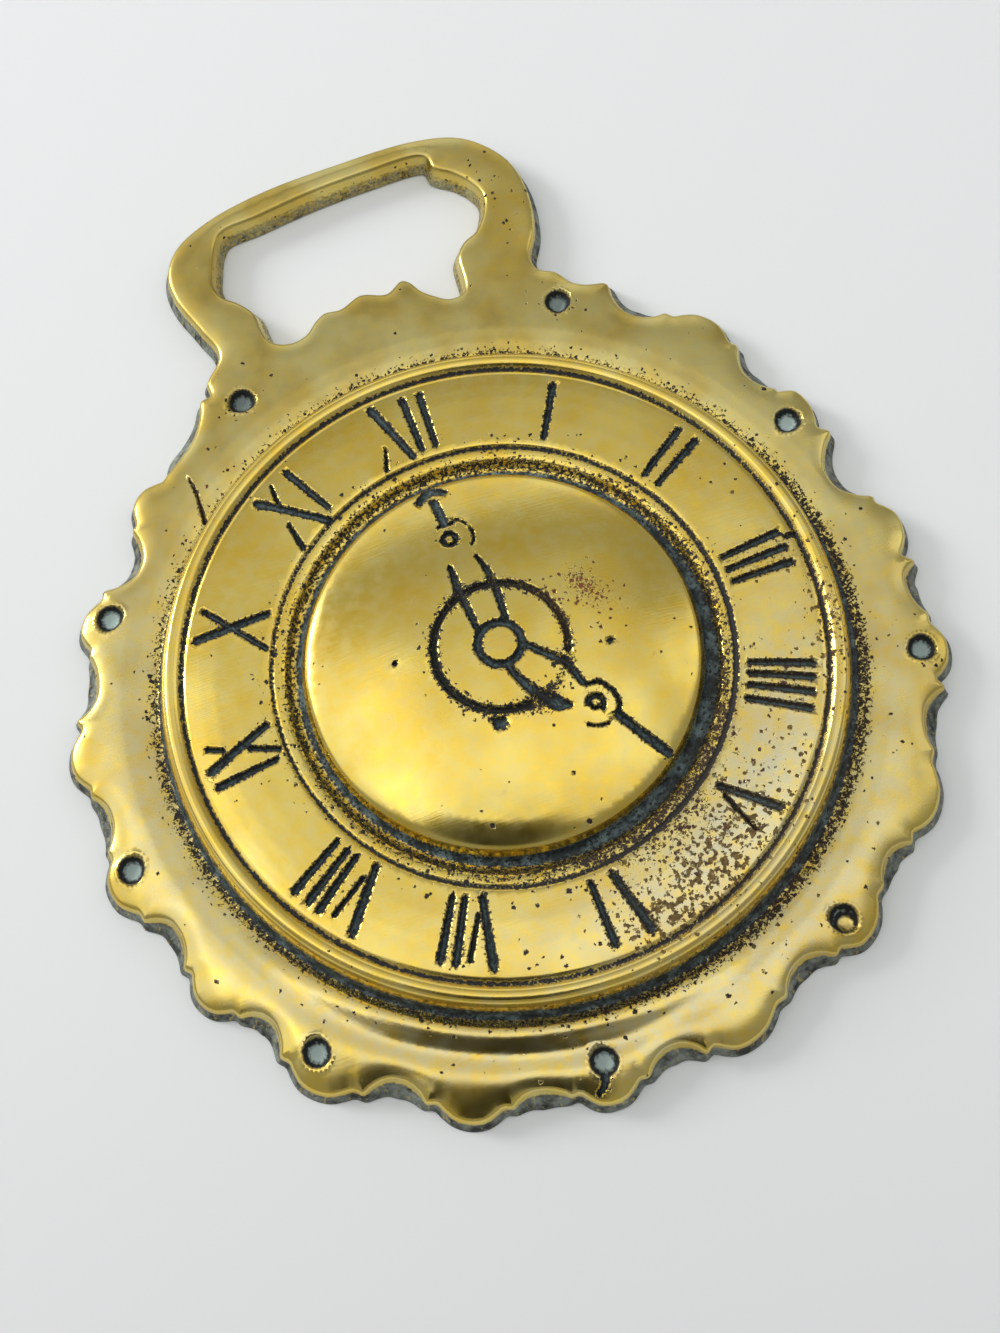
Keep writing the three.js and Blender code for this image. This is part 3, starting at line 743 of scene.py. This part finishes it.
on_flange = 0.35 + 0.35 * toward(10, 70) - 0.1 * toward(250, 60) - 0.35 * toward(190, 50)
tarnish = 0.25 + rise(radius, 30.5, 31.5) * on_flange - 0.4 * patch(17, 43, 8)

# The fill of the two recesses, each from its inner side to its outer.
inner_fill = rise(radius, 17.3, 17.45) * (
    1 - rise(radius, 17.55 + 0.75 * lower_right, 18.5 + 0.7 * lower_right))
outer_fill = rise(radius, 29.9, 30.15) * (
    1 - rise(radius, 30.25 + 0.3 * toward(120, 40) + 0.15 * toward(240, 50),
             30.85 + 0.3 * lower_right))

# The walls' dirt, row by row from the edge down, and half as much inside the slot.
wall_dirt = np.zeros(len(place))
for level, dirt in zip(levels[1:], (0, 0.75, 1, 1, 1, 1, 1)):
    wall_dirt[level] = dirt
    wall_dirt[level[len(outer):]] *= 0.5

fields = {
    "cut": np.clip(np.where(is_front, cut_distance(x, y)[0], CUT_FAR), -1, 1),
    "eaten": on_front(
        1.1 * at_radius(5.74, 0.9) + 0.32 + 0.5 * toward(165, 12) * at_radius(24, 4)),
    "line": np.clip(np.where(is_front, from_line, 1.0), -1, 1),
    "dimple": np.clip(np.where(is_front, from_dimple, 1.0), -1.5, 1),
    "chalked": on_front(CHALKED[from_each.argmin(1)]),
    "pitting": on_front(pitting, 0.1),
    "browned": on_front(browned),
    "rusty": on_front(rusty),
    "fill": on_front(np.maximum(inner_fill, outer_fill)),
    "pale": on_front(pale),
    "tarnish": on_front(tarnish, 0.6),
    "wall": wall_dirt,
    "behind": np.arange(len(place)) >= back_start - count,
}
for name, values in fields.items():
    layer = mesh.attributes.new(name, "FLOAT", "POINT")
    layer.data.foreach_set("value", np.asarray(values, np.float32))

# ---- The brass ----------------------------------------------------------------------
# Yellow cast brass, hand-polished and then worn and tarnished indoors: bright metal,
# olive where it has dulled, blue-black verdigris in the cuts, brown corrosion pits.


def linear(code):
    """An sRGB hex colour as the linear values that a socket takes: each part over 12.92
    where it is dark, and otherwise lifted, scaled and raised to the power 2.4."""
    parts = [int(code[at : at + 2], 16) / 255 for at in (1, 3, 5)]
    return [c / 12.92 if c <= 0.04045 else ((c + 0.055) / 1.055) ** 2.4 for c in parts] + [1]


brass = bpy.data.materials.new("cast_brass_worn")
brass.use_nodes = True
tree = brass.node_tree
tree.nodes.clear()


def add(kind, *inputs, out=0, sockets=None, **settings):
    """Adds a node, sets it, fills or links its inputs in their order and the sockets by
    name or number, and gives back one output. A kind in capitals is a sum of the Math
    node. A hex code becomes its colour."""
    new = tree.nodes.new("ShaderNodeMath" if kind.isupper() else "ShaderNode" + kind)
    if kind.isupper():
        new.operation = kind
    for name, value in settings.items():
        setattr(new, name, value)
    for key, value in [*enumerate(inputs), *(sockets or {}).items()]:
        if isinstance(value, bpy.types.NodeSocket):
            tree.links.new(value, new.inputs[key])
        else:
            new.inputs[key].default_value = linear(value) if isinstance(value, str) else value
    return new.outputs[out] if new.outputs else new


def coats(base, *laid):
    """A base colour and others over it, each laid on by its share from 0 to 1."""
    for share, paint in laid:
        sockets = {0: share, 6: base, 7: paint}
        base = add("Mix", out=2, sockets=sockets, data_type="RGBA", clamp_factor=True)
    return base


def crumbled(distance, wobble, soft):
    """1 inside a signed distance and 0 outside it, where the edge wanders by the wobble
    as the crumbs do and is blurred by the soft part."""
    moved = add("MULTIPLY_ADD", crumbs, wobble, distance)
    return add("MapRange", moved, wobble / 2 + soft, wobble / 2 - soft)


def spots(wanted, size, smallest, largest, soft):
    """Spots in a random net: a cell holds one if its number is under the share wanted
    there, and its second number sets how large it is. Reach and soft edge are parts of
    the cell, and the cell's size is in millimetres."""
    net = tree.nodes.new("ShaderNodeTexVoronoi")
    tree.links.new(bent, net.inputs["Vector"])
    net.inputs["Scale"].default_value = 1 / size
    numbers = net.outputs["Color"]
    here = add("LESS_THAN", add("SeparateColor", numbers), wanted)
    second = add("SeparateColor", numbers, out=1)
    reach = add("MapRange", second, 0.0, 1.0, smallest, largest)
    inward = add("SUBTRACT", reach, net.outputs["Distance"])
    return add("MULTIPLY", add("MapRange", inward, 0.0, soft), here)


# Every pattern reads the object's own millimetres, so its scale is 1 over a real size.
field = {name: add("Attribute", out="Fac", attribute_name=name) for name in fields}
metres = add("TexCoord", out="Object")
mm = add("VectorMath", metres, operation="SCALE", sockets={"Scale": 1000.0})
# Crumbs of verdigris along a cut, 0.31 mm.
crumbs = add("TexNoise", mm, sockets={"Scale": 3.2, "Detail": 4.0, "Roughness": 0.65})
# The slow change of tone from one rubbing to the next, 6 mm.
tone = add("TexNoise", mm, sockets={"Scale": 0.16, "Detail": 2.0, "Roughness": 0.55})
# Clouds of tarnish, 1.3 mm.
cloud = add("TexNoise", mm, sockets={"Scale": 0.75, "Detail": 3.0, "Roughness": 0.65})
# The grain of the casting under the polish, 0.11 mm.
grain = add("TexNoise", mm, sockets={"Scale": 9.0, "Detail": 2.0, "Roughness": 0.7})
# Bristles of pits that grow out of the recesses, 0.3 mm.
bristles = add("TexNoise", mm, sockets={
    "Scale": 3.3, "Detail": 3.0, "Roughness": 0.6, "Distortion": 0.8})
# Brown stains, 0.6 mm.
blots = add("TexNoise", mm, sockets={
    "Scale": 1.7, "Detail": 2.0, "Roughness": 0.55, "Distortion": 0.25})
# Marks of the file down the walls, 0.4 mm apart and 2.5 mm long.
filed = add("Mapping", mm, sockets={"Scale": (3.0, 3.0, 0.5)})
file_marks = add("TexNoise", filed, sockets={"Scale": 0.8, "Detail": 2.0})
# Hairlines from rubbing. The real ones are 0.02 mm apart, too fine to show, and these
# are 0.14 mm apart.
rubbed_way = add("Mapping", mm, sockets={"Rotation": (0.0, 0.0, 0.6), "Scale": (0.25, 7.0, 1.0)})
hairlines = add("TexNoise", rubbed_way, sockets={"Scale": 1.0, "Detail": 2.0})
# The net that holds the spots is bent by up to 0.3 mm, so they aren't round.
bend = add("TexNoise", mm, out="Color", sockets={"Scale": 4.5, "Detail": 1.0})
bent = add("VectorMath", bend, (0.3, 0.3, 0.3), mm, operation="MULTIPLY_ADD")

# Verdigris fills the cuts, the two cut circles, the dimples and the two recesses. The
# cuts' edges are eaten away most on the circle round the hub and by the sixth hour.
eaten = add("MULTIPLY", add("SUBTRACT", crumbs, 0.5), field["eaten"])
eaten = add("MULTIPLY_ADD", eaten, 2.2, field["cut"])
in_cut = crumbled(add("ADD", eaten, -0.085), 0.4, 0.06)
in_line = crumbled(field["line"], 0.7, 0.06)
in_dimple = crumbled(field["dimple"], 0.35, 0.1)
filled = add("MapRange", add("MULTIPLY_ADD", crumbs, 1.4, field["fill"]), 1.1, 1.3)
crust = add("MAXIMUM", add("MAXIMUM", in_cut, in_line), add("MAXIMUM", in_dimple, filled))

# Corrosion pits, the finest thickest along the recesses, and larger flat brown stains.
pits = add("MapRange", add("MULTIPLY_ADD", field["pitting"], 0.4, bristles), 0.84, 0.9)
small = spots(add("MULTIPLY", field["pitting"], 0.45), 0.36, 0.2, 0.55, 0.12)
large = spots(add("MULTIPLY", field["pitting"], 0.3), 0.7, 0.15, 0.42, 0.1)
pits = add("MAXIMUM", add("MAXIMUM", pits, small), large)
stains = add("MapRange", add("MULTIPLY_ADD", field["browned"], 0.27, blots), 0.79, 0.84)
speckles = spots(add("MULTIPLY", field["browned"], 0.6), 0.5, 0.2, 0.5, 0.12)
stains = add("MAXIMUM", stains, speckles)

# The walls kept their casting skin and dirt; the file has bared some of the metal.
bared = add("MapRange", file_marks, 0.6, 0.68, 1.0, 0.5)
skin = add("MapRange", add("MULTIPLY_ADD", crumbs, 0.8, field["wall"]), 0.75, 1.0)
skin = add("MULTIPLY", skin, bared)

# Colours, from the metal up: fresh and rubbed brass, its tarnish and its pale bloom,
# the sandy back, then stains, pits, verdigris, chalk in the dimples and the walls' skin.
dull = add("MapRange", add("MULTIPLY_ADD", cloud, 0.9, field["tarnish"]), 0.5, 1.5)
tarnished = coats("#C9BC7C", (add("MapRange", tone, 0.4, 0.6), "#B8A258"))
sandy = coats("#8A7440", (add("MapRange", cloud, 0.35, 0.6), "#5C4A28"))
stain = coats("#80652A", (add("MapRange", crumbs, 0.4, 0.6), "#4E3812"))
verdigris = coats(
    "#263133",
    (add("MapRange", cloud, 0.44, 0.66), "#6A7D7E"),
    (add("MapRange", crumbs, 0.5, 0.6), "#0E1112"),
    (add("MapRange", field["fill"], 0.7, 0.25), "#101312"),
    (field["rusty"], "#4A3415"),
)
heart = add("MULTIPLY", add("MapRange", field["cut"], -0.08, -0.26),
            add("MapRange", crumbs, 0.6, 0.45))
heart = add("MULTIPLY", heart, add("MapRange", field["eaten"], 1.0, 0.5))
chalk = add("MapRange", add("MULTIPLY_ADD", crumbs, 0.8, field["dimple"]), 0.05, -0.25)
bloom = add("MULTIPLY", field["pale"], add("MapRange", cloud, 0.25, 0.6))
colour = coats(
    "#EBCF62",
    (add("MapRange", tone, 0.35, 0.65), "#E3C04C"),
    (add("MULTIPLY", add("MapRange", cloud, 0.4, 0.7), 0.5), "#F0DC8E"),
    (dull, tarnished),
    (bloom, "#CDC6A4"),
    (field["behind"], sandy),
    (stains, stain),
    (pits, coats("#1C140A", (field["rusty"], "#7A3E10"))),
    (crust, verdigris),
    (heart, "#4C5E61"),
    (add("MULTIPLY", chalk, field["chalked"]), "#BCCFC9"),
    (skin, coats("#2A2D27", (add("MapRange", cloud, 0.36, 0.62), "#878D83"))),
)

# Dirt is no metal, and rougher than the brass, which is rougher where it has dulled.
dirt = add("MAXIMUM", add("MAXIMUM", pits, crust), add("MULTIPLY", skin, 0.9))
dirt = add("MAXIMUM", dirt, stains)
metal = add("SUBTRACT", 1.0, dirt)
sheen = add("MapRange", add("ADD", dull, tone), 0.35, 1.3, 0.17, 0.32)
rough = add("MULTIPLY_ADD", dirt, 0.4, sheen)
rough = add("MULTIPLY_ADD", field["behind"], 0.16, rough)

# The finest relief, in millimetres: dirt lies sunk and crumbly, the file has scored the
# walls, hairlines, clouds and grain unsettle the polish, and the back is sandy.
depth = add("MULTIPLY", dirt, -0.06)
for pattern, height in [
    (add("MULTIPLY", crust, crumbs), 0.12), (add("MULTIPLY", skin, file_marks), 0.25),
    (hairlines, 0.0035), (cloud, 0.006), (grain, 0.0015),
    (add("MULTIPLY", field["behind"], crumbs), 0.07),
]:
    depth = add("MULTIPLY_ADD", pattern, height, depth)
relief = add("Bump", sockets={"Strength": 1.0, "Distance": 0.001, "Height": depth})
shader = add("BsdfPrincipled", sockets={
    "Base Color": colour, "Metallic": metal, "Roughness": rough, "Normal": relief})
add("OutputMaterial", shader)
mesh.materials.append(brass)

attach(casting, "root")
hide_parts("horse_brass")

# ---- The floor and the light ----------------------------------------------------------
# A plain pale floor of matt paper under soft studio light: a large bright panel
# overhead, weaker ones round it for the brass to mirror, and a small key at the back
# left that casts the shadow.

floor_mesh = bpy.data.meshes.new("floor")
floor_mesh.from_pydata([(-2, -2, 0), (2, -2, 0), (2, 2, 0), (-2, 2, 0)], [], [(0, 1, 2, 3)])
floor = bpy.data.objects.new("floor", floor_mesh)
bpy.context.scene.collection.objects.link(floor)


def matt(name, code, roughness):
    """A matt material of one colour."""
    made = bpy.data.materials.new(name)
    made.use_nodes = True
    sockets = made.node_tree.nodes["Principled BSDF"].inputs
    sockets["Base Color"].default_value = linear(code)
    sockets["Roughness"].default_value = roughness
    return made


floor_mesh.materials.append(matt("floor_paper", "#EFF1F1", 0.9))
floor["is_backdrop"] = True

world = bpy.data.worlds.new("studio")
world.use_nodes = True
world.node_tree.nodes["Background"].inputs["Color"].default_value = (0.98, 1.0, 0.99, 1)
world.node_tree.nodes["Background"].inputs["Strength"].default_value = 0.3
bpy.context.scene.world = world

# Each panel: its place and its two sides in metres, and its brightness. It faces the
# casting, and its power is the brightness times pi times its area.
PANELS = {
    "overhead": ((0.0, -0.08, 0.5), (0.58, 0.27), 0.76),
    "middle": ((0.0, 0.12, 0.5), (0.58, 0.13), 0.44),
    "beyond": ((0.02, 0.27, 0.5), (0.6, 0.17), 0.2),
    "left": ((-0.4, 0.1, 0.45), (0.44, 0.52), 0.66),
    "far": ((0.0, 0.6, 0.3), (0.9, 0.3), 0.55),
    "right": ((0.55, 0.05, 0.42), (0.26, 0.5), 0.7),
    "key": ((-0.6, 0.5, 0.34), (0.26, 0.26), 14.0),
}
for name, (at, size, brightness) in PANELS.items():
    light = bpy.data.lights.new(name, "AREA")
    light.shape, light.size, light.size_y = "RECTANGLE", *size
    light.energy = brightness * np.pi * size[0] * size[1]
    lamp = bpy.data.objects.new(name, light)
    bpy.context.scene.collection.objects.link(lamp)
    lamp.location = at
    lamp.rotation_euler = Vector(at).to_track_quat("Z", "Y").to_euler()

# ---- The camera and the card below it --------------------------------------------------
# The camera looks down at the brass from the side away from the loop. A dark card of
# felt stands just below the lens, as whoever holds the camera would, for the polished
# metal to mirror. It is off the line of sight and keeps out of every view.

camera = bpy.data.cameras.new("camera")
camera.lens, camera.sensor_width = 48.61, 36
shot = bpy.data.objects.new("camera", camera)
bpy.context.scene.collection.objects.link(shot)
# The camera's right, up and line of sight, and its place in millimetres from the
# middle of the dial.
right = np.array([0.94979, -0.30881, -0.05032])
up = np.array([0.30799, 0.89447, 0.32414])
ahead = np.array([0.05509, 0.32336, -0.94467])
LENS_AT = [-8.968, -50.775, 151.48]
eye = (np.array([*shift, 0]) + LENS_AT) / 1000
stand = np.eye(4)
stand[:3, :3] = np.column_stack([right, up, -ahead])
stand[:3, 3] = eye
shot.matrix_world = Matrix(stand.tolist())
bpy.context.scene.camera = shot

# The card's corners, to the right of the lens and up from it, in metres.
CARD = np.array([[-0.062, -0.0125], [0.027, -0.0125], [0.027, -0.16], [-0.062, -0.16]])
corners = eye + CARD @ np.array([right, up]) - 0.002 * ahead
card_mesh = bpy.data.meshes.new("dark_card")
card_mesh.from_pydata(corners.tolist(), [], [(0, 1, 2, 3)])
card = bpy.data.objects.new("dark_card", card_mesh)
bpy.context.scene.collection.objects.link(card)
card_mesh.materials.append(matt("dark_felt", "#202018", 1.0))
card.visible_camera = False
card.visible_shadow = False
card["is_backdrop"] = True
bpy.context.scene.view_settings.view_transform = "Standard"
bpy.context.scene.view_settings.exposure = 0.25

low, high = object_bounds()
sizes = {"cad": [list(cad_low / 1000), list(cad_high / 1000)], "visual": [list(low), list(high)]}
